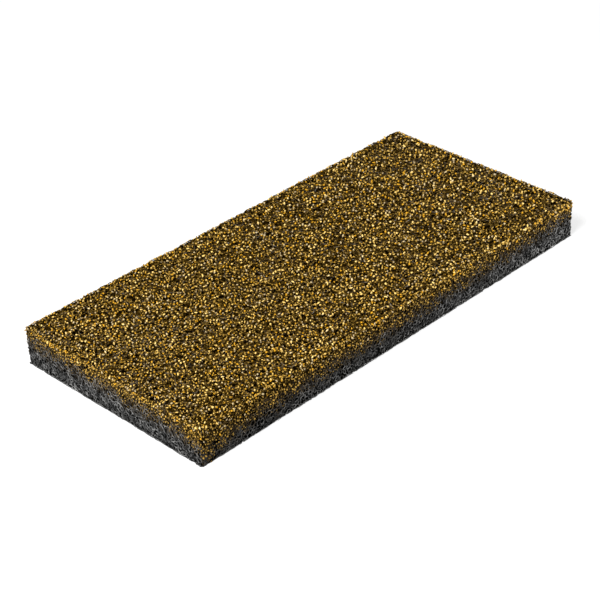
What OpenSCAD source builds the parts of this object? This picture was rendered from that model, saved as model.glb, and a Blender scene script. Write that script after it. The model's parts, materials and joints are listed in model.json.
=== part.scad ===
// Rectangular hand pad for polishing stone and terrazzo floors.
// It is one slab of springy non-woven fibre, die-cut to size, with diamond grit cured in drops of
// resin onto its upper face. The grit rolls over the rim and stops part of the way down the sides,
// and the sides below it show the open cells between the cut fibres.
// The underside lies on Z = 0, centred on the origin, with the length along X.

/* [Pad] */
// Length of the pad, along X
pad_length = 250; // [150:1:320]
// Width of the pad, along Y
pad_width = 117; // [70:1:160]
// Thickness, from the underside to the tips of the tallest clumps of grit
pad_thickness = 20; // [12:0.5:30]
// Radius of the four upright corners
corner_radius = 1.5; // [0.5:0.5:12]
// Radius of the soft shoulder round the gritted face
shoulder_radius = 1.5; // [1:0.5:6]

/* [Grit face] */
// Spacing of the clumps of grit
grit_pitch = 4.5; // [4:0.1:8]
// Height of the tallest clump above the web that it stands on
grit_height = 1.6; // [0.4:0.1:3]
// Depth of the deepest hollow between the clumps, below the top of the web
hollow_depth = 0.8; // [0:0.1:1.5]

/* [Cut sides] */
// Height of one open cell between the fibres of a cut side
cell_height = 3; // [3:0.5:8]
// How far the deepest open cell reaches into a cut side
cell_depth = 3; // [0.2:0.1:4]

/* [Hidden] */

// The top of the web, which the clumps of grit stand on, and the height of the sides below it
web_top = pad_thickness - grit_height;
side_height = web_top - shoulder_radius;

// Cells along the length, across the width, up the sides and round the rim
cells_x = round((pad_length - 2 * shoulder_radius) / grit_pitch);
cells_y = round((pad_width - 2 * shoulder_radius) / grit_pitch);
side_rows = max(1, round(side_height / cell_height));
rim_count = 2 * (cells_x + cells_y);

// Each ring round the pad is [inset from the outline, height], from the underside up to the face
shoulder_step = 45;
rings = concat(
    [for (row = [0 : side_rows]) [0, side_height * row / side_rows]],
    [for (turn = [shoulder_step : shoulder_step : 90])
        [shoulder_radius * (1 - cos(turn)), side_height + shoulder_radius * sin(turn)]]
);
last_ring = len(rings) - 1;

// Share of a cell that a hollow, a clump between hollows, and a fibre between two rows of open
// cells may wander from its even place
hollow_wander = 0.3;
clump_wander = 0.15;
fibre_wander = 0.35;
// The lowest clump's share of the tallest one's height
lowest_clump = 0.35;
// Share of the open cells' depth that the fibres round them may give way by
fibre_sway = 0.3;

// Random shares: from 0 to 1 for a depth in the sides, and from -1 to 1 for the rest
ring_share = rands(0, 1, len(rings) * rim_count, 11);
drift_share = rands(-1, 1, len(rings) * rim_count, 71);
cell_share = rands(0, 1, last_ring * rim_count, 23);
hollow_share = rands(-1, 1, 3 * (cells_x + 1) * (cells_y + 1), 37);
clump_share = rands(-1, 1, 3 * cells_x * cells_y, 53);

function mean(points) = [for (p = points) 1] * points / len(points);
function sign_of(value) = value < 0 ? -1 : 1;

// Place on the face's grid of rim point k, counted round from the corner at -X -Y, and the reverse
function rim_place(k) =
    k < cells_x ? [k, 0]
    : k < cells_x + cells_y ? [cells_x, k - cells_x]
    : k < 2 * cells_x + cells_y ? [2 * cells_x + cells_y - k, cells_y]
    : [0, rim_count - k];
function rim_index(i, j) =
    j == 0 ? i
    : i == cells_x ? cells_x + j
    : j == cells_y ? 2 * cells_x + cells_y - i
    : rim_count - j;
function on_rim(i, j) = i == 0 || j == 0 || i == cells_x || j == cells_y;

// A grid place on the pad's plan, with the outline taken in by inset
function half_size(inset) = [pad_length / 2 - inset, pad_width / 2 - inset];
function plan(i, j, inset) = [
    (2 * i / cells_x - 1) * half_size(inset).x,
    (2 * j / cells_y - 1) * half_size(inset).y
];

// How far a plan point lies past the centre of the nearest corner's arc, along X and along Y
function past_arc_centre(p, inset) =
    let (straight = half_size(inset) - [1, 1] * max(corner_radius - inset, 0))
    [for (axis = [0, 1]) sign_of(p[axis]) * max(abs(p[axis]) - straight[axis], 0)];

// The same point drawn in to the rounded corner
function rounded(p, inset) =
    let (past = past_arc_centre(p, inset), in_corner = past.x != 0 && past.y != 0)
    in_corner ? p - past + past * (corner_radius - inset) / norm(past) : p;

// The way straight out of the pad at rim point k
function outward(k) =
    let (place = rim_place(k), past = past_arc_centre(plan(place.x, place.y, 0), 0)) past / norm(past);

// A knot of fibre on one of the rings. It gives way inwards, or downwards on the face's own rim, and
// between two rows of open cells it wanders up or down.
function ring_point(r, k) =
    let (
        place = rim_place(k),
        even = rounded(plan(place.x, place.y, rings[r][0]), rings[r][0]),
        sway = ring_share[r * rim_count + k] * cell_depth * fibre_sway,
        p = r == last_ring ? even : even - outward(k) * sway,
        drift = drift_share[r * rim_count + k] * fibre_wander * side_height / side_rows,
        lift = r == last_ring ? -sway : r > 0 && r < side_rows ? drift : 0
    ) [p.x, p.y, rings[r][1] + lift];

// The middle of a cell between two rings: an open pit in a side, or a clump of grit on the shoulder,
// which stands no further out than the pad's outline
function cell_middle(r, k) =
    let (
        next = (k + 1) % rim_count,
        even = mean([ring_point(r, k), ring_point(r, next), ring_point(r + 1, next), ring_point(r + 1, k)]),
        between = outward(k) + outward(next),
        way = between / norm(between),
        share = cell_share[r * rim_count + k],
        turn = (r - side_rows + 0.5) * shoulder_step,
        rise = share * grit_height / 2,
        room = (rings[r][0] + rings[r + 1][0]) / 2,
        out = r < side_rows ? -share * cell_depth * (1 - fibre_sway) : min(rise * cos(turn), room),
        up = r < side_rows ? 0 : rise * sin(turn)
    ) even + [way.x * out, way.y * out, up];

// A hollow between the clumps, and the tip of a clump, on the face
function hollow_point(i, j) =
    let (n = 3 * (i * (cells_y + 1) + j), even = plan(i, j, shoulder_radius)) [
        even.x + hollow_share[n] * grit_pitch * hollow_wander,
        even.y + hollow_share[n + 1] * grit_pitch * hollow_wander,
        web_top - hollow_depth * (1 + hollow_share[n + 2]) / 2
    ];
function face_point(i, j) =
    on_rim(i, j) ? ring_point(last_ring, rim_index(i, j)) : hollow_point(i, j);
function clump_tip(i, j) =
    let (
        n = 3 * (i * cells_y + j),
        even = mean([face_point(i, j), face_point(i + 1, j), face_point(i + 1, j + 1), face_point(i, j + 1)]),
        share = lowest_clump + (1 - lowest_clump) * (1 + clump_share[n + 2]) / 2
    ) [
        even.x + clump_share[n] * grit_pitch * clump_wander,
        even.y + clump_share[n + 1] * grit_pitch * clump_wander,
        web_top + grit_height * share
    ];

// Where each kind of point starts in the list of all points
first_middle = len(rings) * rim_count;
first_hollow = first_middle + last_ring * rim_count;
first_tip = first_hollow + (cells_x - 1) * (cells_y - 1);

function ring_id(r, k) = r * rim_count + k % rim_count;
function face_id(i, j) =
    on_rim(i, j) ? ring_id(last_ring, rim_index(i, j))
    : first_hollow + (i - 1) * (cells_y - 1) + j - 1;

// Four faces from the corners of a cell to its middle
function cell_faces(a, b, c, d, middle) =
    [[b, a, middle], [c, b, middle], [d, c, middle], [a, d, middle]];

// The whole slab as one closed skin: underside, cut sides, shoulder and gritted face
module pad() {
    points = concat(
        [for (r = [0 : last_ring], k = [0 : rim_count - 1]) ring_point(r, k)],
        [for (r = [0 : last_ring - 1], k = [0 : rim_count - 1]) cell_middle(r, k)],
        [for (i = [1 : cells_x - 1], j = [1 : cells_y - 1]) hollow_point(i, j)],
        [for (i = [0 : cells_x - 1], j = [0 : cells_y - 1]) clump_tip(i, j)]
    );
    underside = [[for (k = [0 : rim_count - 1]) ring_id(0, k)]];
    sides = [for (r = [0 : last_ring - 1], k = [0 : rim_count - 1])
        each cell_faces(
            ring_id(r, k), ring_id(r, k + 1), ring_id(r + 1, k + 1), ring_id(r + 1, k),
            first_middle + r * rim_count + k
        )];
    face = [for (i = [0 : cells_x - 1], j = [0 : cells_y - 1])
        each cell_faces(
            face_id(i, j), face_id(i + 1, j), face_id(i + 1, j + 1), face_id(i, j + 1),
            first_tip + i * cells_y + j
        )];
    color("darkgoldenrod")
        polyhedron(points = points, faces = concat(underside, sides, face), convexity = 4);
}

pad();
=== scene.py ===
"""Dresses the solid of a polishing pad as a web of cut fibre, with drops of gritty gold resin on its face."""

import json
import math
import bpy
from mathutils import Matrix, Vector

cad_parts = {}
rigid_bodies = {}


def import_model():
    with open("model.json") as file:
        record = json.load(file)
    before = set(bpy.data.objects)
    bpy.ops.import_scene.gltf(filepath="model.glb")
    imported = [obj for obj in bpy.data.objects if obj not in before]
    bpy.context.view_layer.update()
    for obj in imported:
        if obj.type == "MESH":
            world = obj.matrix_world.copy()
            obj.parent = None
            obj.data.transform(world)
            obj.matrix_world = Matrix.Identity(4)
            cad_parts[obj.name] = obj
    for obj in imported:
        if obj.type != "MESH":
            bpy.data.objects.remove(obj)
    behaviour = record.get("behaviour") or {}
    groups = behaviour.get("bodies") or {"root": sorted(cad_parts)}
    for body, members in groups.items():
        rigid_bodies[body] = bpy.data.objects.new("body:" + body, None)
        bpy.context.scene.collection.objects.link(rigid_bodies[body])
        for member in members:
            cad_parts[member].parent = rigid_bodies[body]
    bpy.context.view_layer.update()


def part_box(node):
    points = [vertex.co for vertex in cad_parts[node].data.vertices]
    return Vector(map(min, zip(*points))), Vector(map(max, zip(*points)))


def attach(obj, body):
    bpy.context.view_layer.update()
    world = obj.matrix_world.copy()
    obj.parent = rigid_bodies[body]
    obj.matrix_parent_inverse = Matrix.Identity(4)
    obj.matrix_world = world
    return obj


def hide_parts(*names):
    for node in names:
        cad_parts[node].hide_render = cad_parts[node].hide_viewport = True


bl_info = {
    "name": "Polishing pad",
    "version": (1, 0, 0),
    "blender": (4, 5, 0),
    "location": "3D View > Sidebar > Polishing pad",
    "description": "Builds the fibre web and the gritty resin coat of a polishing pad over its solid",
    "category": "Object",
}

import bpy
from bpy.props import FloatProperty, FloatVectorProperty, IntProperty, PointerProperty
from mathutils import Matrix, Vector

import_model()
PAD_LOW, PAD_HIGH = (Vector(corner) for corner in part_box("pad"))
PAD_SIZE = PAD_HIGH - PAD_LOW

# Values that the strands and the drops keep on their points, and their bake map
TINT = "tint"
COAT = "coat"
CLEAR = "clear"
BAKE_MAP = "OFBake"

BLACK = (0, 0, 0)
WHITE = (1, 1, 1, 1)


# Settings that a user would change

class CoreSettings(bpy.types.PropertyGroup):
    """The dark mass of fibre behind the strands that show"""

    depth: FloatProperty(
        name="Depth", description="Depth of the core's rim below the gritted face",
        default=0.0006, unit="LENGTH",
    )
    inset: FloatProperty(
        name="Inset", description="Depth of the core behind the cut sides", default=0.0002, unit="LENGTH"
    )
    lift: FloatProperty(
        name="Lift", description="Height of the core above the underside", default=0.0001, unit="LENGTH"
    )
    rim: FloatProperty(name="Rim", description="Width of the core's raised rim", default=0.002, unit="LENGTH")
    dish: FloatProperty(
        name="Dish", description="How much deeper the core lies inside its rim", default=0.001, unit="LENGTH"
    )
    lump_size: FloatProperty(
        name="Lump size", description="Size of the lumps in the core's surface", default=0.004, unit="LENGTH"
    )
    lump_height: FloatProperty(
        name="Lump height", description="Height of the lumps from hollow to crest",
        default=0.0003, unit="LENGTH",
    )
    # The core's pits are painted: their shade is painted into the core's colour
    cell: FloatProperty(
        name="Cell", description="Size of the pits in the core's surface", default=0.0023, unit="LENGTH"
    )
    colour: FloatVectorProperty(
        name="Colour", description="Colour deep in the web", default=(0.074, 0.0742, 0.0738), subtype="COLOR"
    )
    stain: FloatVectorProperty(
        name="Stain", description="Colour just under the gritted face",
        default=(0.04, 0.021, 0.0025), subtype="COLOR",
    )


class FibreSettings(bpy.types.PropertyGroup):
    """The curled strands of the web"""

    diameter: FloatProperty(
        name="Diameter", description="Thickness of a strand in the gritted face",
        default=0.00036, unit="LENGTH",
    )
    side_diameter: FloatProperty(
        name="Side diameter", description="Thickness of a strand in the cut sides and the underside",
        default=0.0004, unit="LENGTH",
    )
    curl: FloatProperty(
        name="Curl", description="Radius of a strand's curl on the two faces", default=0.0035, unit="LENGTH"
    )
    side_curl: FloatProperty(
        name="Side curl", description="Radius of a strand's curl in the cut sides",
        default=0.0013, unit="LENGTH",
    )
    tilt: FloatProperty(
        name="Tilt", description="Most that a strand leans out of its layer",
        default=math.radians(16), subtype="ANGLE",
    )
    wave: FloatProperty(
        name="Wave", description="Sway of a strand off its curl", default=0.0016, unit="LENGTH"
    )
    layer: FloatProperty(
        name="Layer", description="Depth of the layer that the strands lie in", default=0.0018, unit="LENGTH"
    )
    rounding: FloatProperty(
        name="Rounding", description="Radius of the worn edges round the face", default=0.0009, unit="LENGTH"
    )
    corner: FloatProperty(
        name="Corner", description="Radius of the four upright corners", default=0.0007, unit="LENGTH"
    )
    proud: FloatProperty(
        name="Proud", description="How far the loosest strands stand out of the cut sides",
        default=0.0005, unit="LENGTH",
    )
    clump_pitch: FloatProperty(
        name="Clump pitch", description="Size of the clumps that the face stands up in",
        default=0.0045, unit="LENGTH",
    )
    clump_height: FloatProperty(
        name="Clump height", description="Height of the clumps above the hollows",
        default=0.0008, unit="LENGTH",
    )
    cell: FloatProperty(
        name="Cell", description="Size of the open cells in the cut sides", default=0.0016, unit="LENGTH"
    )
    torn: FloatProperty(
        name="Torn", description="Share of the cells' edges that are torn out", default=0.15, subtype="FACTOR"
    )
    base_cell: FloatProperty(
        name="Underside cell", description="Size of the open cells in the underside",
        default=0.0026, unit="LENGTH",
    )
    face_count: IntProperty(name="Face strands", description="Strands in the gritted face", default=5600)
    side_count: IntProperty(name="Side strands", description="Strands in the cut sides", default=1200)
    base_count: IntProperty(name="Underside strands", description="Strands in the underside", default=900)
    dark: FloatVectorProperty(
        name="Dark", description="The darkest strands", default=(0.014, 0.0139, 0.0136), subtype="COLOR"
    )
    light: FloatVectorProperty(
        name="Light", description="The lightest strands", default=(0.285, 0.283, 0.276), subtype="COLOR"
    )


class GritSettings(bpy.types.PropertyGroup):
    """The drops of gritty resin on the strands"""

    drop_diameter: FloatProperty(
        name="Drop diameter", description="Diameter of the largest drops, unstretched",
        default=0.0013, unit="LENGTH",
    )
    growth: FloatProperty(
        name="Growth", description="How much larger the drops are at the far end than at the near one",
        default=0.22, subtype="FACTOR",
    )
    thinning: FloatProperty(
        name="Thinning", description="Share of the drops that are missing at the far end",
        default=0.3, subtype="FACTOR",
    )
    drop_count: IntProperty(name="Drops", description="Drops on the gritted face", default=9500)
    rim_count: IntProperty(name="Rim drops", description="Drops that have run down the sides", default=3800)
    speck_diameter: FloatProperty(
        name="Speck diameter", description="Diameter of the largest specks, unstretched",
        default=0.0008, unit="LENGTH",
    )
    speck_count: IntProperty(name="Specks", description="Specks of resin between the drops", default=14000)
    fade_high: FloatProperty(
        name="Fade starts", description="Height on the sides at which the coat starts to thin",
        default=0.0207, unit="LENGTH",
    )
    fade_low: FloatProperty(
        name="Fade ends", description="Height on the sides at which the coat ends",
        default=0.0057, unit="LENGTH",
    )
    fade_sway: FloatProperty(
        name="Fade sway", description="How unevenly the coat ends", default=0.005, unit="LENGTH"
    )
    long_run: FloatProperty(
        name="Long run", description="How much lower the coat ends at the near end of the long sides",
        default=0.0057, unit="LENGTH",
    )
    corner_run: FloatProperty(
        name="Corner run", description="How much lower the coat has run at one corner",
        default=0.004, unit="LENGTH",
    )
    corner_reach: FloatProperty(
        name="Corner reach", description="How far from that corner the run spreads",
        default=0.02, unit="LENGTH",
    )
    missed: FloatProperty(
        name="Missed", description="How much of the strands the resin missed", default=0.03, subtype="FACTOR"
    )
    clear: FloatProperty(
        name="Clear", description="Share of the thick drops that are clear", default=0.2, subtype="FACTOR"
    )
    # Painted glints: a share of the thick drops is turned a dull greyish white
    glinting: FloatProperty(
        name="Glinting", description="Share of the thick drops that are dulled by dust",
        default=0.2, subtype="FACTOR",
    )
    deep: FloatVectorProperty(
        name="Deep", description="Thin resin, which the strand shows through",
        default=(0.032, 0.0172, 0.0012), subtype="COLOR",
    )
    gold: FloatVectorProperty(
        name="Gold", description="Drops of common thickness", default=(0.50, 0.30, 0.053), subtype="COLOR"
    )
    orange: FloatVectorProperty(
        name="Orange", description="Drops of clear resin with little grit",
        default=(0.62, 0.31, 0.012), subtype="COLOR",
    )
    pale: FloatVectorProperty(
        name="Pale", description="The palest drops, full of grit", default=(1.0, 0.70, 0.215), subtype="COLOR"
    )
    # The greyish white of the painted glints
    painted_glint: FloatVectorProperty(
        name="Glint", description="Dust on the dull drops", default=(0.40, 0.345, 0.245), subtype="COLOR"
    )
    bare: FloatVectorProperty(
        name="Bare", description="Bare grit, without resin", default=(0.78, 0.62, 0.345), subtype="COLOR"
    )


class StageSettings(bpy.types.PropertyGroup):
    """The camera, the lights and the floor"""

    azimuth: FloatProperty(
        name="Azimuth", description="Way the camera looks from", default=math.radians(-43.4), subtype="ANGLE"
    )
    elevation: FloatProperty(
        name="Elevation", description="Height of the camera above the horizon",
        default=math.radians(32.6), subtype="ANGLE",
    )
    roll: FloatProperty(
        name="Roll", description="Lean of the camera", default=math.radians(-3.2), subtype="ANGLE"
    )
    distance: FloatProperty(
        name="Distance", description="From the camera to the middle of the underside",
        default=0.863, unit="LENGTH",
    )
    aside: FloatVectorProperty(
        name="Aside", description="Place of the camera to the right of and above the middle",
        default=(-0.0058, -0.0017), size=2, unit="LENGTH",
    )
    lens: FloatProperty(name="Lens", description="Focal length, in millimetres", default=108.1)
    sky: FloatProperty(name="Sky", description="Strength of the even light from all round", default=0.35)
    key: FloatProperty(
        name="Key", description="Power of the large lamp high off the near end", default=46.0, unit="POWER"
    )
    fill: FloatProperty(
        name="Fill", description="Power of the small low lamp off the far end", default=0.4, unit="POWER"
    )


# Nodes

def socket(sockets, name):
    """The shown socket of that name, or the one at that place."""
    if isinstance(name, int):
        return sockets[name]
    return next(s for s in sockets if s.enabled and s.name == name)


def plug(tree, target, value):
    """Links an input to a socket, or sets it to a plain value."""
    if isinstance(value, bpy.types.NodeSocket):
        tree.links.new(value, target)
    else:
        target.default_value = value


def add(tree, kind, inputs=None, **settings):
    """A new node with its settings made and its inputs linked or set."""
    node = tree.nodes.new(kind)
    for name, value in settings.items():
        setattr(node, name, value)
    for name, value in (inputs or {}).items():
        plug(tree, socket(node.inputs, name), value)
    return node


def out(node, name=None):
    """An output of a node: the one of that name, or the first that shows."""
    if name is None:
        return next(s for s in node.outputs if s.enabled)
    return socket(node.outputs, name)


def maths(tree, operation, *values):
    node = add(tree, "ShaderNodeMath", operation=operation)
    for place, value in enumerate(values):
        plug(tree, node.inputs[place], value)
    return node.outputs[0]


def vectors(tree, operation, *values, scale=None):
    node = add(tree, "ShaderNodeVectorMath", operation=operation)
    for place, value in enumerate(values):
        plug(tree, node.inputs[place], value)
    if scale is not None:
        plug(tree, node.inputs["Scale"], scale)
    return out(node)


def part_of(tree, vector, axis):
    """One of a vector's three values."""
    return out(add(tree, "ShaderNodeSeparateXYZ", {"Vector": vector}), axis)


def ramp(tree, value, low, high, first=0.0, last=1.0, kind="LINEAR"):
    """A value that goes from first to last, and no further, as another goes from low to high."""
    return out(add(
        tree, "ShaderNodeMapRange",
        {"Value": value, "From Min": low, "From Max": high, "To Min": first, "To Max": last},
        interpolation_type=kind,
    ))


def chance(tree, low, high, seed, data_type="FLOAT"):
    """A random value for each point or instance."""
    return out(add(
        tree, "FunctionNodeRandomValue", {"Min": low, "Max": high, "Seed": seed}, data_type=data_type
    ))


def keep(tree, geometry, name, value, domain="POINT", data_type="FLOAT"):
    """The geometry with a value kept on it under a name."""
    return out(add(
        tree, "GeometryNodeStoreNamedAttribute", {"Geometry": geometry, "Name": name, "Value": value},
        domain=domain, data_type=data_type,
    ))


def kept(tree, name, data_type="FLOAT"):
    """The value that is kept on the geometry under a name."""
    return out(add(tree, "GeometryNodeInputNamedAttribute", {"Name": name}, data_type=data_type))


def move(tree, geometry, **how):
    """The geometry moved by an Offset, or to a Position."""
    return out(add(tree, "GeometryNodeSetPosition", {"Geometry": geometry, **how}))


def without(tree, geometry, unwanted, domain):
    """The geometry without what is unwanted."""
    return out(add(
        tree, "GeometryNodeDeleteGeometry", {"Geometry": geometry, "Selection": unwanted}, domain=domain
    ))


def geometry_tree(name):
    """An empty node tree for a modifier, with its input geometry."""
    tree = bpy.data.node_groups.new(name, "GeometryNodeTree")
    tree.is_modifier = True
    for side in ("INPUT", "OUTPUT"):
        tree.interface.new_socket("Geometry", in_out=side, socket_type="NodeSocketGeometry")
    return tree, out(add(tree, "NodeGroupInput"))


def apply_tree(piece, tree, geometry):
    """Ends the tree at that geometry and applies it to the piece."""
    add(tree, "NodeGroupOutput", {"Geometry": geometry})
    modifier = piece.modifiers.new(tree.name, "NODES")
    modifier.node_group = tree
    bpy.ops.object.modifier_apply(modifier=modifier.name)


def noise_at(tree, place, size, apart=None):
    """Smooth noise in three values from about -1 to 1, with lumps of that size. The value apart, where
    there is one, gives each strand a noise of its own."""
    inputs = {"Vector": place, "Scale": 1 / size, "Detail": 1.0}
    dimensions = "3D"
    if apart is not None:
        far_apart = 100.0
        inputs["W"] = maths(tree, "MULTIPLY", apart, far_apart)
        dimensions = "4D"
    colour = out(add(tree, "ShaderNodeTexNoise", inputs, noise_dimensions=dimensions), "Color")
    return vectors(tree, "MULTIPLY_ADD", colour, (2, 2, 2), (-1, -1, -1))


def length_share(tree, place):
    """How far along the pad a place lies, from 0 at the near end to 1 at the far one."""
    return ramp(tree, part_of(tree, place, "X"), PAD_LOW.x, PAD_HIGH.x)


def own_cell(tree, index, count, along, across):
    """A place on the bake map for a point of one strand or drop, each of which has a cell of its own."""
    per_row = math.ceil(math.sqrt(count))
    column = maths(tree, "MODULO", index, per_row)
    row = maths(tree, "FLOOR", maths(tree, "DIVIDE", index, per_row))
    u = maths(tree, "DIVIDE", maths(tree, "ADD", column, along), per_row)
    v = maths(tree, "DIVIDE", maths(tree, "ADD", row, across), per_row)
    return out(add(tree, "ShaderNodeCombineXYZ", {"X": u, "Y": v}))


# Pieces

def start_piece(add_primitive, name, **options):
    """Adds a primitive with nothing else selected, and names it."""
    bpy.ops.object.select_all(action="DESELECT")
    add_primitive(**options)
    piece = bpy.context.object
    piece.name = piece.data.name = name
    return piece


def settle(piece, material):
    """Gives a finished piece its material, and its place in the frame."""
    piece.data.materials.clear()
    piece.data.materials.append(material)
    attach(piece, "root")
    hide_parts("pad")


def block(name, low, high):
    """A block between two corners."""
    piece = start_piece(
        bpy.ops.mesh.primitive_cube_add, name, size=1, location=(low + high) / 2, scale=high - low
    )
    bpy.ops.object.transform_apply(location=True, rotation=True, scale=True)
    return piece


def select_parts(piece, kind, wanted):
    """Selects the faces or the edges of a piece that are wanted, and leaves it in edit mode."""
    bpy.ops.object.mode_set(mode="EDIT")
    bpy.ops.mesh.select_mode(type=kind)
    bpy.ops.mesh.select_all(action="DESELECT")
    bpy.ops.object.mode_set(mode="OBJECT")
    for part in piece.data.polygons if kind == "FACE" else piece.data.edges:
        part.select = wanted(part)
    bpy.ops.object.mode_set(mode="EDIT")


def sink_face(piece, way, rim, depth):
    """Sinks the squares of a block's top or underside that lie inside its rim."""
    def inside(face):
        off_rim = abs(face.center.x) < PAD_HIGH.x - rim and abs(face.center.y) < PAD_HIGH.y - rim
        return off_rim and face.normal.z * way > 0.5

    select_parts(piece, "FACE", inside)
    bpy.ops.transform.translate(value=(0, 0, -way * depth))
    bpy.ops.object.mode_set(mode="OBJECT")


def cut_edges(piece, axis, cuts):
    """Cuts all the edges of a block that run along an axis."""
    def runs_along(edge):
        first, second = (piece.data.vertices[corner].co for corner in edge.vertices)
        way = second - first
        return abs(way[axis]) > way.length / 2

    select_parts(piece, "EDGE", runs_along)
    bpy.ops.mesh.subdivide(number_cuts=cuts)
    bpy.ops.object.mode_set(mode="OBJECT")


def cut_squares(piece, size):
    """Cuts the faces of a block into squares of about that size, in two goes, as one go makes no more than
    100 cuts."""
    for axis in range(3):
        squares = round(PAD_SIZE[axis] / 2 / size)
        cut_edges(piece, axis, 1)
        cut_edges(piece, axis, squares - 1)


def keep_faces(piece, wanted):
    """Deletes the faces of a piece whose normals aren't wanted."""
    select_parts(piece, "FACE", lambda face: not wanted(face.normal))
    bpy.ops.mesh.delete(type="FACE")
    bpy.ops.object.mode_set(mode="OBJECT")


def press_in(tree, place, fibre, diameter, give):
    """The place, moved in to the web's skin if it is outside, and how far outside it was. The skin has round
    upright corners, worn edges round the face and square ones round the underside. The value give sets a
    strand's own skin further in."""
    low = 0.65 * diameter
    top = PAD_SIZE.z - diameter / 2
    full_clump = 0.4
    flat = vectors(tree, "MULTIPLY", place, (1, 1, 0))
    clump = part_of(tree, noise_at(tree, flat, fibre.clump_pitch), "X")
    hollow = ramp(tree, clump, -full_clump, full_clump, fibre.clump_height, 0.0)
    ceiling = maths(tree, "SUBTRACT", maths(tree, "SUBTRACT", top, give), hollow)
    height = maths(tree, "MAXIMUM", part_of(tree, place, "Z"), low)
    height = maths(tree, "MINIMUM", height, ceiling)
    worn = maths(tree, "MAXIMUM", maths(tree, "SUBTRACT", height, top - fibre.rounding), 0.0)
    worn = maths(tree, "SUBTRACT", fibre.rounding ** 2, maths(tree, "POWER", worn, 2.0))
    out_to = fibre.rounding + diameter / 2 - fibre.proud
    inset = maths(tree, "ADD", give, maths(tree, "SUBTRACT", out_to, maths(tree, "SQRT", worn)))
    inset = vectors(tree, "SCALE", (1, 1, 0), scale=inset)
    corner = Vector((PAD_SIZE.x / 2 - fibre.corner, PAD_SIZE.y / 2 - fibre.corner, 0))
    reach = vectors(tree, "ADD", vectors(tree, "ABSOLUTE", flat), inset)
    past = vectors(tree, "MAXIMUM", vectors(tree, "SUBTRACT", reach, corner), (0, 0, 0))
    far = vectors(tree, "LENGTH", past)
    short = maths(tree, "MINIMUM", maths(tree, "DIVIDE", fibre.corner, far), 1.0)
    past = vectors(tree, "SCALE", past, scale=short)
    held = vectors(tree, "ADD", vectors(tree, "MINIMUM", reach, corner), past)
    held = vectors(tree, "MAXIMUM", vectors(tree, "SUBTRACT", held, inset), (0, 0, 0))
    held = vectors(tree, "MULTIPLY", held, vectors(tree, "SIGN", flat))
    pressed = vectors(tree, "ADD", held, out(add(tree, "ShaderNodeCombineXYZ", {"Z": height})))
    return pressed, vectors(tree, "DISTANCE", pressed, place)


def coat_share(tree, place, fibre, grit):
    """How much resin there is at a place: most of it on the face, and less and less down the sides and deep
    in the web."""
    sway_size = 0.006
    deep, deep_share = 1.6 * fibre.layer, 0.3
    sway = part_of(tree, noise_at(tree, place, sway_size), "X")
    flat = vectors(tree, "MULTIPLY", place, (1, 1, 0))
    away = vectors(tree, "DISTANCE", flat, Vector((PAD_LOW.x, PAD_LOW.y, 0)))
    run = ramp(tree, away, 0.0, grit.corner_reach, grit.corner_run, 0.0)
    lifted = maths(tree, "MULTIPLY_ADD", sway, grit.fade_sway, part_of(tree, place, "Z"))
    lifted = maths(tree, "ADD", lifted, run)
    edges = (PAD_SIZE.x / 2, PAD_SIZE.y / 2, PAD_SIZE.z)
    inside = vectors(tree, "SUBTRACT", edges, vectors(tree, "ABSOLUTE", place))
    from_end, from_side, from_face = (part_of(tree, inside, axis) for axis in "XYZ")
    long_side = maths(tree, "LESS_THAN", from_side, from_end)
    nearness = maths(tree, "SUBTRACT", 1.0, length_share(tree, place))
    long_run = maths(tree, "MULTIPLY", nearness, grit.long_run)
    lifted = maths(tree, "MULTIPLY_ADD", long_side, long_run, lifted)
    fade = ramp(tree, lifted, grit.fade_low, grit.fade_high, kind="SMOOTHSTEP")
    depth = maths(tree, "MINIMUM", maths(tree, "MINIMUM", from_end, from_side), from_face)
    skin = ramp(tree, depth, fibre.layer / 2, deep, 1.0, deep_share)
    return maths(tree, "MULTIPLY", fade, skin)


def even_points(tree, faces, count, area, seed):
    """About that many points spread over an area, none too near the next."""
    packing, spare = 0.69, 12
    return add(
        tree, "GeometryNodeDistributePointsOnFaces",
        {
            "Mesh": faces, "Distance Min": math.sqrt(packing * area / count),
            "Density Max": spare * count / area, "Seed": seed,
        },
        distribute_method="POISSON",
    )


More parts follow.
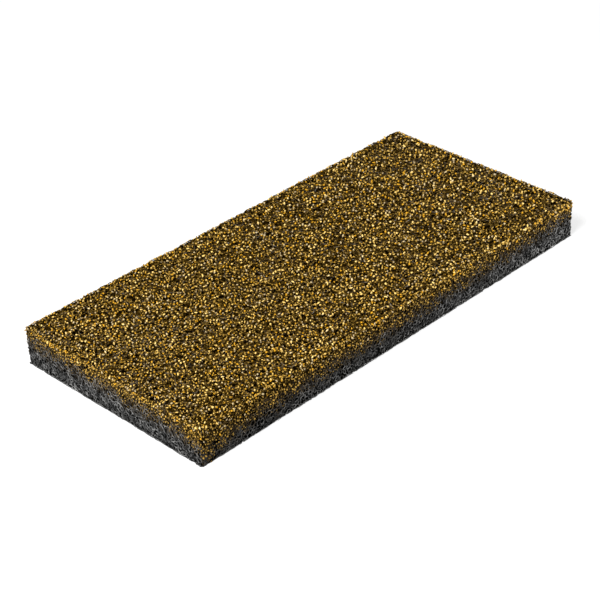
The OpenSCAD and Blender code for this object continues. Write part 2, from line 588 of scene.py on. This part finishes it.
def cell_edges(tree, squares, cell, torn, seed):
    """The edges of uneven open cells, one round each corner of the squares, as short strands that meet.
    Along the long sides their tint carries painted shade at the near end and painted light at the far one."""
    jitter, flattening = 0.6 * cell, 0.6
    warp_size, warp_height = 4 * cell, 0.7 * cell
    darkest, lightest, patchiness = 0.1, 0.95, 0.6
    # near_end and far_end set the painted shade at the near end of the long sides and the painted light at
    # the far one
    plain, near_end, far_end = 0.95, -0.26, 0.16
    place = out(add(tree, "GeometryNodeInputPosition"))
    way = out(add(tree, "GeometryNodeInputNormal"))
    noise = noise_at(tree, place, warp_size)
    offset = chance(tree, [-jitter] * 3, [jitter] * 3, seed + 6, "FLOAT_VECTOR")
    outwards = vectors(tree, "PROJECT", offset, way)
    offset = vectors(tree, "SUBTRACT", offset, vectors(tree, "SCALE", outwards, scale=flattening))
    warp = vectors(tree, "SCALE", noise, scale=warp_height)
    warp = vectors(tree, "SUBTRACT", warp, vectors(tree, "PROJECT", warp, way))
    moved = move(tree, squares, Offset=vectors(tree, "ADD", offset, warp))
    corners = out(add(tree, "GeometryNodeTriangulate", {"Mesh": moved}))
    cells = out(add(tree, "GeometryNodeDualMesh", {"Mesh": corners, "Keep Boundaries": True}))
    tint = chance(tree, darkest, lightest, seed + 7)
    tint = maths(tree, "MULTIPLY_ADD", part_of(tree, noise, "Z"), patchiness, tint)
    across = part_of(tree, vectors(tree, "ABSOLUTE", way), "Y")
    long_side = maths(tree, "GREATER_THAN", across, 0.5)
    # Painted shade and light: the long sides' cells darker at the near end and lighter towards the far one
    painted_falloff = maths(tree, "MULTIPLY_ADD", length_share(tree, place), far_end - near_end, near_end)
    painted_falloff = maths(tree, "MULTIPLY_ADD", long_side, painted_falloff, plain)
    cells = keep(tree, cells, TINT, maths(tree, "MULTIPLY", tint, painted_falloff))
    whole = out(add(
        tree, "FunctionNodeRandomValue", {"Probability": 1 - torn, "Seed": seed + 8}, data_type="BOOLEAN"
    ))
    return out(add(tree, "GeometryNodeMeshToCurve", {"Mesh": cells, "Selection": whole}))


def weave(piece, count, diameter, curl, sweep, bends, tints, cell, seed, fibre, grit):
    """Turns the faces of a piece into curled strands that lie along them and are pressed in to the pad's
    outline. If the faces are squares of a cell's size, the edges of open cells join the strands."""
    shortest, longest = 0.6, 1.4
    thinnest, thickest = 0.5, 1.5
    wave_size, patch_size = 0.004, 0.0015
    most_strands, edges_per_square = 1.2, 3.3
    patch_start, patch_coat = 0.5 - 3 * grit.missed, 0.2
    area = sum(face.area for face in piece.data.polygons)
    tree, faces = geometry_tree(piece.name)
    spread = even_points(tree, faces, count, area, seed)
    depth = chance(tree, -fibre.layer / 2, fibre.layer / 2, seed + 1)
    roots = move(
        tree, out(spread, "Points"), Offset=vectors(tree, "SCALE", out(spread, "Normal"), scale=depth)
    )
    arc = out(add(tree, "GeometryNodeCurveArc", {
        "Resolution": bends + 1, "Radius": curl, "Start Angle": -sweep / 2, "Sweep Angle": sweep,
    }))
    middle = curl * math.sin(sweep / 2) / (sweep / 2)
    arc = out(add(tree, "GeometryNodeTransform", {"Geometry": arc, "Translation": (-middle, 0, 0)}))
    turn = chance(
        tree, (-fibre.tilt, -fibre.tilt, 0), (fibre.tilt, fibre.tilt, math.tau), seed + 2, "FLOAT_VECTOR"
    )
    turn = out(add(tree, "FunctionNodeEulerToRotation", {"Euler": turn}))
    lie = out(add(
        tree, "FunctionNodeRotateRotation", {"Rotation": out(spread, "Rotation"), "Rotate By": turn},
        rotation_space="LOCAL",
    ))
    strands = out(add(tree, "GeometryNodeInstanceOnPoints", {
        "Points": roots, "Instance": arc, "Rotation": lie,
        "Scale": chance(tree, shortest, longest, seed + 3),
    }))
    strands = keep(tree, strands, TINT, chance(tree, *tints, seed + 4), "INSTANCE")
    strands = keep(tree, strands, "strand", out(add(tree, "GeometryNodeInputIndex")), "INSTANCE")
    strands = out(add(tree, "GeometryNodeRealizeInstances", {"Geometry": strands}))
    place = out(add(tree, "GeometryNodeInputPosition"))
    tint = kept(tree, TINT)
    sway = noise_at(tree, place, wave_size, tint)
    strands = move(tree, strands, Offset=vectors(tree, "SCALE", sway, scale=fibre.wave))
    total = count * most_strands
    if cell:
        edges = cell_edges(tree, faces, cell, fibre.torn, seed)
        index = maths(tree, "ADD", out(add(tree, "GeometryNodeInputIndex")), total)
        edges = keep(tree, edges, "strand", index, "CURVE")
        total += edges_per_square * len(piece.data.polygons)
        both = add(tree, "GeometryNodeJoinGeometry")
        for part in (edges, strands):
            tree.links.new(part, both.inputs["Geometry"])
        strands = out(both)
    give = maths(tree, "MULTIPLY", maths(tree, "SUBTRACT", 0.5, tint), fibre.layer / 3)
    pressed, outside = press_in(tree, place, fibre, diameter, give)
    strands = without(tree, strands, maths(tree, "GREATER_THAN", outside, fibre.layer), "POINT")
    strands = move(tree, strands, Position=pressed)
    points = out(add(tree, "GeometryNodeSplineLength"), "Point Count")
    strands = without(tree, strands, maths(tree, "LESS_THAN", points, 2), "CURVE")
    strands = keep(tree, strands, "along", out(add(tree, "GeometryNodeSplineParameter"), "Factor"))
    outline = out(add(tree, "GeometryNodeCurvePrimitiveCircle", {"Resolution": 3, "Radius": diameter / 2}))
    outline = keep(tree, outline, "round", out(add(tree, "GeometryNodeSplineParameter"), "Factor"))
    skins = out(add(tree, "GeometryNodeCurveToMesh", {
        "Curve": strands, "Profile Curve": outline, "Scale": chance(tree, thinnest, thickest, seed + 5),
        "Fill Caps": True,
    }))
    patch = part_of(tree, noise_at(tree, place, patch_size, tint), "Y")
    missed = maths(tree, "GREATER_THAN", patch, patch_start)
    taken = maths(tree, "MULTIPLY_ADD", missed, patch_coat - 1, 1.0)
    coat = maths(tree, "MULTIPLY", coat_share(tree, place, fibre, grit), taken)
    skins = keep(tree, skins, COAT, coat)
    along, across, strand = (kept(tree, name) for name in ("along", "round", "strand"))
    cells = own_cell(tree, strand, total, along, across)
    skins = keep(tree, skins, BAKE_MAP, cells, "CORNER", "FLOAT2")
    skins = out(add(tree, "GeometryNodeSetShadeSmooth", {"Geometry": skins}))
    apply_tree(piece, tree, skins)


def scatter(piece, masters, count, area, small, thin, thick, lean, smooth, seed, grit):
    """Turns a copy of the strands into drops that sit on them, wherever there is resin. The smallest are that
    small a share of the largest. They are thin to thick, and thinner by lean at the far end."""
    driest, wettest = 0.15, 0.7
    no_coat, full_coat, least_wet = 0.2, 0.95, 0.25
    least_uneven, more_uneven = 0.66, 0.4
    blotch_size, blotch_height = 0.012, 0.12
    lighter = 0.01
    most_drops = 1.3
    tree, strands = geometry_tree(piece.name)
    coat = kept(tree, COAT)
    dry = maths(tree, "LESS_THAN", coat, chance(tree, driest, wettest, seed + 5))
    way = part_of(tree, out(add(tree, "GeometryNodeInputNormal")), "Z")
    under = maths(tree, "LESS_THAN", way, 0.0)
    wet = without(tree, strands, maths(tree, "MAXIMUM", dry, under), "FACE")
    spread = even_points(tree, wet, count, area, seed)
    place = out(add(tree, "GeometryNodeInputPosition"))
    along = length_share(tree, place)
    thinning = maths(tree, "MULTIPLY", along, grit.thinning)
    missing = maths(tree, "LESS_THAN", chance(tree, 0.0, 1.0, seed + 6), thinning)
    points = without(tree, out(spread, "Points"), missing, "POINT")
    shapes = out(add(
        tree, "GeometryNodeCollectionInfo",
        {"Collection": masters, "Separate Children": True, "Reset Children": True},
        transform_space="ORIGINAL",
    ))
    turn = chance(tree, (0, 0, 0), [math.tau] * 3, seed + 1, "FLOAT_VECTOR")
    rank = chance(tree, 0.0, 1.0, seed + 2)
    wetness = ramp(tree, coat, no_coat, full_coat, least_wet, 1.0)
    size = maths(tree, "MULTIPLY_ADD", rank, 1 - small, small)
    size = maths(tree, "MULTIPLY", size, maths(tree, "MULTIPLY_ADD", wetness, 0.5, 0.5))
    growth = maths(tree, "MULTIPLY_ADD", along, grit.growth, 1 - grit.growth / 2)
    drops = out(add(tree, "GeometryNodeInstanceOnPoints", {
        "Points": points, "Instance": shapes, "Pick Instance": True,
        "Instance Index": chance(tree, 0, len(masters.objects) - 1, seed + 3, "INT"),
        "Rotation": out(add(tree, "FunctionNodeEulerToRotation", {"Euler": turn})),
        "Scale": maths(tree, "MULTIPLY", size, growth),
    }))
    unevenness = maths(tree, "MULTIPLY_ADD", along, more_uneven, least_uneven)
    rise = maths(tree, "MULTIPLY", maths(tree, "SUBTRACT", rank, 0.5), unevenness)
    thickness = maths(tree, "MULTIPLY_ADD", rise, thick - thin, (thick + thin) / 2)
    thickness = maths(tree, "MULTIPLY", thickness, maths(tree, "POWER", wetness, 2.0))
    leaning = maths(tree, "MULTIPLY_ADD", along, -lean, lean / 2 + lighter)
    thickness = maths(tree, "ADD", thickness, leaning)
    blotch = part_of(tree, noise_at(tree, place, blotch_size), "X")
    thickness = maths(tree, "MULTIPLY_ADD", blotch, blotch_height, thickness)
    drops = keep(tree, drops, TINT, thickness, "INSTANCE")
    drops = keep(tree, drops, CLEAR, chance(tree, 0.0, 1.0, seed + 4), "INSTANCE")
    drops = keep(tree, drops, "drop", out(add(tree, "GeometryNodeInputIndex")), "INSTANCE")
    drops = out(add(tree, "GeometryNodeRealizeInstances", {"Geometry": drops}))
    own_map = kept(tree, "UVMap", "FLOAT_VECTOR")
    u, v = (part_of(tree, own_map, axis) for axis in "XY")
    cells = own_cell(tree, kept(tree, "drop"), count * most_drops, u, v)
    drops = keep(tree, drops, BAKE_MAP, cells, "CORNER", "FLOAT2")
    drops = out(add(tree, "GeometryNodeSetShadeSmooth", {"Geometry": drops, "Shade Smooth": smooth}))
    apply_tree(piece, tree, drops)


def drop_shapes(name, add_primitive, diameter, stretches, seed, **options):
    """A hidden collection of lumpy drops, one for each stretch."""
    bumps = 0.125
    masters = bpy.data.collections.new(name)
    for number, stretch in enumerate(stretches):
        drop = start_piece(add_primitive, f"{name}_{number}", radius=diameter / 2, **options)
        bpy.ops.object.mode_set(mode="EDIT")
        bpy.ops.transform.resize(value=stretch)
        bpy.ops.transform.vertex_random(offset=bumps * diameter, seed=seed + number)
        bpy.ops.object.mode_set(mode="OBJECT")
        for holder in drop.users_collection:
            holder.objects.unlink(drop)
        masters.objects.link(drop)
    return masters


def discard(masters):
    for shape in list(masters.objects):
        bpy.data.objects.remove(shape)
    bpy.data.collections.remove(masters)


# Materials

def material_tree(name):
    """A new material, with its node tree and its own shader."""
    material = bpy.data.materials.new(name)
    material.use_nodes = True
    tree = material.node_tree
    return material, tree, tree.nodes["Principled BSDF"]


def set_shader(tree, shader, **inputs):
    """Links or sets inputs of a shader, which are named with _ for each space."""
    for name, value in inputs.items():
        plug(tree, shader.inputs[name.replace("_", " ")], value)


def blend(tree, share, first, second):
    """A colour between two others."""
    node = add(tree, "ShaderNodeMix", {"Factor": share}, data_type="RGBA")
    for name, value in (("A", first), ("B", second)):
        colour = value if isinstance(value, bpy.types.NodeSocket) else (*value, 1)
        plug(tree, socket(node.inputs, name), colour)
    return out(node)


def read(tree, name):
    """A value that the piece keeps on its points."""
    return out(add(tree, "ShaderNodeAttribute", attribute_name=name), "Fac")


def piece_place(tree):
    return out(add(tree, "ShaderNodeTexCoord"), "Object")


def speckle(tree, place, scale, detail):
    """Smooth noise from 0 to 1."""
    return out(add(tree, "ShaderNodeTexNoise", {"Vector": place, "Scale": scale, "Detail": detail}))


def resin_group(grit):
    """The colours of the resin, from thin to thick, as a group that the strands and the drops share."""
    fleck_scale, fleck_share = 1500.0, 0.3
    smoothest, roughest = 0.3, 0.6
    tree = bpy.data.node_groups.new("Gritty resin", "ShaderNodeTree")
    results = (("Colour", "OUTPUT", "Color"), ("Roughness", "OUTPUT", "Float"))
    for name, side, kind in (("Thickness", "INPUT", "Float"), *results):
        tree.interface.new_socket(name, in_out=side, socket_type=f"NodeSocket{kind}")
    thickness = out(add(tree, "NodeGroupInput"))
    fleck = speckle(tree, piece_place(tree), fleck_scale, 2.0)
    thickness = maths(tree, "SUBTRACT", thickness, fleck_share / 2)
    grainy = maths(tree, "MULTIPLY_ADD", fleck, fleck_share, thickness)
    colours = add(tree, "ShaderNodeValToRGB", {"Fac": grainy})
    stops = colours.color_ramp.elements
    stops[0].position, stops[0].color = 0.0, (*grit.deep, 1)
    stops[1].position, stops[1].color = 1.0, (*grit.bare, 1)
    gold_from, gold_to, pale_at = 0.52, 0.74, 0.95
    for stop, colour in ((gold_from, grit.gold), (gold_to, grit.gold), (pale_at, grit.pale)):
        stops.new(stop).color = (*colour, 1)
    rough = ramp(tree, fleck, 0.0, 1.0, smoothest, roughest)
    add(tree, "NodeGroupOutput", {"Colour": out(colours, "Color"), "Roughness": rough})
    return tree


def core_material(core, grit):
    """A sponge with painted shade, in darker patches and black pits, stained by the resin near the face, with
    a few drops deep inside it.
    """
    stain_curve = 0.6
    shade, pit_shade, drop_share = 0.6, 0.92, 0.2
    unshaded_edge, wall_edge, drop_edge = (0.35, 0.6), (0.47, 0.56), (0.25, 0.45)
    material, tree, shader = material_tree("deep_web")
    place = piece_place(tree)
    under_face = PAD_SIZE.z - core.depth - core.dish
    share = ramp(tree, part_of(tree, place, "Z"), grit.fade_low, under_face)
    stained = maths(tree, "POWER", share, stain_curve)
    full = blend(tree, stained, tuple(core.colour), tuple(core.stain))
    # Painted shade: patches of the web darkened towards black, where it lies deeper
    unshaded = ramp(tree, speckle(tree, place, 1 / (3 * core.cell), 1.0), *unshaded_edge)
    front = blend(tree, unshaded, blend(tree, shade, full, BLACK), full)
    # Painted shade: pits darkened almost to black between the sponge's walls
    walls = ramp(tree, speckle(tree, place, 1 / core.cell, 2.0), *wall_edge, kind="SMOOTHSTEP")
    web = blend(tree, walls, blend(tree, pit_shade, front, BLACK), front)
    drops = out(add(tree, "ShaderNodeTexVoronoi", {"Vector": place, "Scale": 1 / grit.drop_diameter}))
    deep_drop = ramp(tree, drops, *drop_edge, 1.0, 0.0)
    deep_drop = maths(tree, "MULTIPLY", deep_drop, maths(tree, "MULTIPLY", share, drop_share))
    colour = blend(tree, deep_drop, web, tuple(grit.gold))
    set_shader(tree, shader, Base_Color=colour, Roughness=0.95, Specular_IOR_Level=0.0)
    return material


def strand_material(fibre, resin):
    """Grey to black fibre, under a thin blotchy skin of resin where the coat reaches."""
    blotch_scale, blotch_height, blotch_start = 700.0, 1.2, 0.58
    lightness_curve, coat_curve = 2.0, 1.2
    material, tree, shader = material_tree("coated_strand")
    blotch = speckle(tree, piece_place(tree), blotch_scale, 1.0)
    lightness = maths(tree, "POWER", read(tree, TINT), lightness_curve)
    bare = blend(tree, lightness, tuple(fibre.dark), tuple(fibre.light))
    share = maths(tree, "POWER", read(tree, COAT), coat_curve)
    thickness = maths(tree, "SUBTRACT", maths(tree, "MULTIPLY", blotch, blotch_height), blotch_start)
    coated = add(tree, "ShaderNodeGroup", {"Thickness": thickness}, node_tree=resin)
    colour = blend(tree, share, bare, coated.outputs["Colour"])
    rough = coated.outputs["Roughness"]
    set_shader(tree, shader, Base_Color=colour, Roughness=rough, Specular_IOR_Level=0.03)
    return material


def drop_material(grit, resin):
    """Glossy resin from brown to pale gold. Some of the thick drops are clear orange, and some are painted a
    dull greyish white, as painted glints.
    """
    clear_from, glinting_from, glint_strength = 0.55, 0.6, 0.7
    material, tree, shader = material_tree("resin_drop")
    thickness, kind = read(tree, TINT), read(tree, CLEAR)
    wet = add(tree, "ShaderNodeGroup", {"Thickness": thickness}, node_tree=resin)
    clear = maths(tree, "LESS_THAN", kind, grit.clear)
    clear = maths(tree, "MULTIPLY", clear, maths(tree, "GREATER_THAN", thickness, clear_from))
    # Painted glints: thick drops blended towards a greyish white that stands in for glints of light
    glinting = maths(tree, "GREATER_THAN", kind, 1 - grit.glinting)
    glinting = maths(tree, "MULTIPLY", glinting, maths(tree, "GREATER_THAN", thickness, glinting_from))
    painted_glint = maths(tree, "MULTIPLY", glinting, glint_strength)
    colour = blend(tree, painted_glint, wet.outputs["Colour"], tuple(grit.painted_glint))
    colour = blend(tree, clear, colour, tuple(grit.orange))
    set_shader(
        tree, shader, Base_Color=colour, Roughness=wet.outputs["Roughness"], Specular_IOR_Level=0.7,
        Specular_Tint=(*grit.pale, 1),
    )
    return material


def open_floor(floor):
    """Cuts an opening in the floor under the pad, a little smaller than it, so that its underside isn't in
    the dark."""
    margin = Vector((0.003, 0.003, 0))
    opening = PAD_SIZE - margin
    rim = 1.0
    inner = floor.dimensions.x - 2 * rim
    bpy.ops.object.mode_set(mode="EDIT")
    bpy.ops.mesh.inset(thickness=rim)
    bpy.ops.transform.resize(value=(opening.x / inner, opening.y / inner, 1))
    bpy.ops.mesh.delete(type="FACE")
    bpy.ops.object.mode_set(mode="OBJECT")


def floor_material():
    """White to the camera and in reflections, with the pad's soft shadow near it, and clear from below."""
    shadow_share, shadow_near, shadow_far = 0.35, 0.2, 0.7
    material, tree, shader = material_tree("floor")
    set_shader(tree, shader, Base_Color=(0.8, 0.8, 0.8, 1), Roughness=1.0)
    path = add(tree, "ShaderNodeLightPath")
    seen = maths(tree, "MAXIMUM", out(path, "Is Camera Ray"), out(path, "Is Glossy Ray"))
    seen = maths(tree, "MAXIMUM", seen, out(path, "Is Transmission Ray"))
    glow = out(add(tree, "ShaderNodeEmission", {"Color": WHITE, "Strength": 1.0}))
    shade = out(add(tree, "ShaderNodeBsdfDiffuse", {"Color": WHITE}))
    away = vectors(tree, "LENGTH", piece_place(tree))
    shaded = ramp(tree, away, shadow_near, shadow_far, shadow_share, 0.0)
    white = add(tree, "ShaderNodeMixShader", {0: shaded, 1: glow, 2: shade})
    both = add(tree, "ShaderNodeMixShader", {0: seen, 1: out(shader), 2: out(white)})
    below = out(add(tree, "ShaderNodeNewGeometry"), "Backfacing")
    clear = out(add(tree, "ShaderNodeBsdfTransparent"))
    sides = add(tree, "ShaderNodeMixShader", {0: below, 1: out(both), 2: clear})
    plug(tree, tree.nodes["Material Output"].inputs["Surface"], out(sides))
    return material


# Operators

class OBJECT_OT_pad_core(bpy.types.Operator):
    """Model the dark lumpy mass of fibre inside the pad"""

    bl_idname = "object.pad_core"
    bl_label = "Pad core"

    def execute(self, context):
        core = context.scene.pad_core
        piece = block(
            "web_core",
            PAD_LOW + Vector((core.inset, core.inset, core.lift)),
            PAD_HIGH - Vector((core.inset, core.inset, core.depth)),
        )
        cut_squares(piece, core.rim)
        sink_face(piece, 1, core.rim, core.dish)
        sink_face(piece, -1, core.rim, core.dish)
        lumps = bpy.data.textures.new("lumps", "CLOUDS")
        lumps.noise_scale = core.lump_size
        push = piece.modifiers.new("lumps", "DISPLACE")
        push.texture = lumps
        push.texture_coords = "LOCAL"
        push.strength = core.lump_height
        push.mid_level = 1.0
        bpy.ops.object.modifier_apply(modifier=push.name)
        bpy.ops.object.shade_smooth()
        settle(piece, core_material(core, context.scene.pad_grit))
        return {"FINISHED"}


class OBJECT_OT_pad_strands(bpy.types.Operator):
    """Weave the strands of the face, the cut sides and the underside"""

    bl_idname = "object.pad_strands"
    bl_label = "Pad strands"

    def execute(self, context):
        fibre = context.scene.pad_fibre
        grit = context.scene.pad_grit
        material = strand_material(fibre, resin_group(grit))
        behind_skin = Vector((1, 1, 1)) * fibre.layer / 2 - Vector((1, 1, 0)) * fibre.proud
        past_edge = -0.3
        past_faces = Vector((0, 0, 1)) * past_edge * fibre.cell
        past_sides = Vector((1, 1, 0)) * past_edge * fibre.base_cell
        wide, tight = math.radians(130), math.radians(120)
        # Painted glints, in part: the face's strands get pale tints, so that its bare strands show as light
        # grey flecks; the sides and the underside get dim ones
        pale, dim = (0.6, 1.0), (0.0, 0.6)
        layers = (
            ("face_strands", behind_skin, lambda way: way.z > 0.5, dict(
                count=fibre.face_count, diameter=fibre.diameter, curl=fibre.curl, sweep=wide, bends=5,
                tints=pale, cell=None, seed=10,
            )),
            ("side_strands", past_faces, lambda way: abs(way.z) < 0.5, dict(
                count=fibre.side_count, diameter=fibre.side_diameter, curl=fibre.side_curl, sweep=tight,
                bends=4, tints=dim, cell=fibre.cell, seed=20,
            )),
            ("base_strands", past_sides, lambda way: way.z < -0.5, dict(
                count=fibre.base_count, diameter=fibre.side_diameter, curl=fibre.curl, sweep=wide, bends=6,
                tints=dim, cell=fibre.base_cell, seed=30,
            )),
        )
        for name, behind, wanted, layer in layers:
            piece = block(name, PAD_LOW + behind, PAD_HIGH - behind)
            keep_faces(piece, wanted)
            if layer["cell"]:
                cut_squares(piece, layer["cell"])
            weave(piece, fibre=fibre, grit=grit, **layer)
            settle(piece, material)
        return {"FINISHED"}


class OBJECT_OT_pad_drops(bpy.types.Operator):
    """Set drops and specks of resin on the strands of the face and the rim"""

    bl_idname = "object.pad_drops"
    bl_label = "Pad drops"

    def execute(self, context):
        grit = context.scene.pad_grit
        material = drop_material(grit, bpy.data.node_groups["Gritty resin"])
        rounds = drop_shapes(
            "drop", bpy.ops.mesh.primitive_ico_sphere_add, grit.drop_diameter,
            ((1.05, 0.95, 0.8), (1.65, 0.75, 0.75), (0.85, 1.3, 0.65)), 5, subdivisions=1,
        )
        chips = drop_shapes(
            "speck", bpy.ops.mesh.primitive_cylinder_add, grit.speck_diameter,
            ((1, 1, 1), (1.5, 0.8, 0.8)), 9, vertices=3, depth=0.8 * grit.speck_diameter,
        )
        face = PAD_SIZE.x * PAD_SIZE.y
        rim = (PAD_SIZE.x + PAD_SIZE.y) * PAD_SIZE.z
        kinds = (
            ("face_drops", "face_strands", dict(
                masters=rounds, count=grit.drop_count, area=face, small=0.55, thin=0.48, thick=1.0, lean=0.1,
                smooth=True, seed=40,
            )),
            ("rim_drops", "side_strands", dict(
                masters=rounds, count=grit.rim_count, area=rim, small=0.5, thin=0.2, thick=0.82, lean=0.0,
                smooth=True, seed=50,
            )),
            ("face_specks", "face_strands", dict(
                masters=chips, count=grit.speck_count, area=face, small=0.5, thin=-0.22, thick=0.5, lean=0.4,
                smooth=False, seed=60,
            )),
        )
        for name, strands, kind in kinds:
            bpy.ops.object.select_all(action="DESELECT")
            source = bpy.data.objects[strands]
            source.select_set(True)
            context.view_layer.objects.active = source
            bpy.ops.object.duplicate()
            piece = context.object
            piece.name = piece.data.name = name
            scatter(piece, grit=grit, **kind)
            settle(piece, material)
        discard(rounds)
        discard(chips)
        return {"FINISHED"}


class SCENE_OT_pad_stage(bpy.types.Operator):
    """Set up the floor, the lights and the camera"""

    bl_idname = "scene.pad_stage"
    bl_label = "Pad stage"

    def execute(self, context):
        stage = context.scene.pad_stage
        floor = start_piece(bpy.ops.mesh.primitive_plane_add, "floor", size=6)
        open_floor(floor)
        floor.data.materials.append(floor_material())
        self.light_sky(context.scene, stage)
        self.add_lamp("key", place=(-1.2, -0.15, 1.27), size=0.9, power=stage.key)
        self.add_lamp("fill", place=(0.26, -0.21, 0.06), size=0.1, power=stage.fill)
        self.place_camera(context.scene, stage)
        context.scene.view_settings.view_transform = "Standard"
        return {"FINISHED"}

    def add_lamp(self, name, place, size, power):
        """A round soft lamp that points at the middle of the pad."""
        bpy.ops.object.light_add(type="AREA", location=place)
        lamp = bpy.context.object
        lamp.name = name
        lamp.data.shape = "DISK"
        lamp.data.size = size
        lamp.data.energy = power
        lamp.rotation_euler = (-lamp.location).to_track_quat("-Z", "Y").to_euler()

    def light_sky(self, scene, stage):
        """Even light from all round, which the camera sees as plain white."""
        scene.world = bpy.data.worlds.new("studio")
        scene.world.use_nodes = True
        tree = scene.world.node_tree
        sky = tree.nodes["Background"]
        set_shader(tree, sky, Color=WHITE, Strength=stage.sky)
        white = out(add(tree, "ShaderNodeBackground", {"Color": WHITE, "Strength": 1.0}))
        path = add(tree, "ShaderNodeLightPath")
        mix = add(tree, "ShaderNodeMixShader", {0: out(path, "Is Camera Ray"), 1: out(sky), 2: white})
        plug(tree, tree.nodes["World Output"].inputs["Surface"], out(mix))

    def place_camera(self, scene, stage):
        back = Vector((
            math.sin(stage.azimuth) * math.cos(stage.elevation),
            -math.cos(stage.azimuth) * math.cos(stage.elevation),
            math.sin(stage.elevation),
        ))
        level = Vector((math.cos(stage.azimuth), math.sin(stage.azimuth), 0))
        right = Matrix.Rotation(stage.roll, 3, back) @ level
        up = back.cross(right)
        bpy.ops.object.camera_add()
        camera = bpy.context.object
        camera.name = "camera"
        place = back * stage.distance + right * stage.aside[0] + up * stage.aside[1]
        turn = Matrix((right, up, back)).transposed().to_4x4()
        camera.matrix_world = Matrix.Translation(place) @ turn
        camera.data.lens = stage.lens
        scene.camera = camera


class VIEW3D_PT_polishing_pad(bpy.types.Panel):
    bl_label = "Polishing pad"
    bl_space_type = "VIEW_3D"
    bl_region_type = "UI"
    bl_category = "Polishing pad"

    def draw(self, context):
        for settings, operator in PANEL_ROWS:
            box = self.layout.box()
            group = getattr(context.scene, settings)
            for name in group.bl_rna.properties.keys():
                if name not in ("rna_type", "name"):
                    box.prop(group, name)
            box.operator(operator)


PANEL_ROWS = (
    ("pad_core", "object.pad_core"),
    ("pad_fibre", "object.pad_strands"),
    ("pad_grit", "object.pad_drops"),
    ("pad_stage", "scene.pad_stage"),
)
SETTINGS = {
    "pad_core": CoreSettings,
    "pad_fibre": FibreSettings,
    "pad_grit": GritSettings,
    "pad_stage": StageSettings,
}
CLASSES = (
    *SETTINGS.values(),
    OBJECT_OT_pad_core,
    OBJECT_OT_pad_strands,
    OBJECT_OT_pad_drops,
    SCENE_OT_pad_stage,
    VIEW3D_PT_polishing_pad,
)


def register():
    for cls in CLASSES:
        bpy.utils.register_class(cls)
    for name, cls in SETTINGS.items():
        setattr(bpy.types.Scene, name, PointerProperty(type=cls))


def unregister():
    for name in SETTINGS:
        delattr(bpy.types.Scene, name)
    for cls in reversed(CLASSES):
        bpy.utils.unregister_class(cls)


def main():
    register()
    bpy.ops.object.pad_core()
    bpy.ops.object.pad_strands()
    bpy.ops.object.pad_drops()
    bpy.ops.scene.pad_stage()


if __name__ == "__main__":
    main()
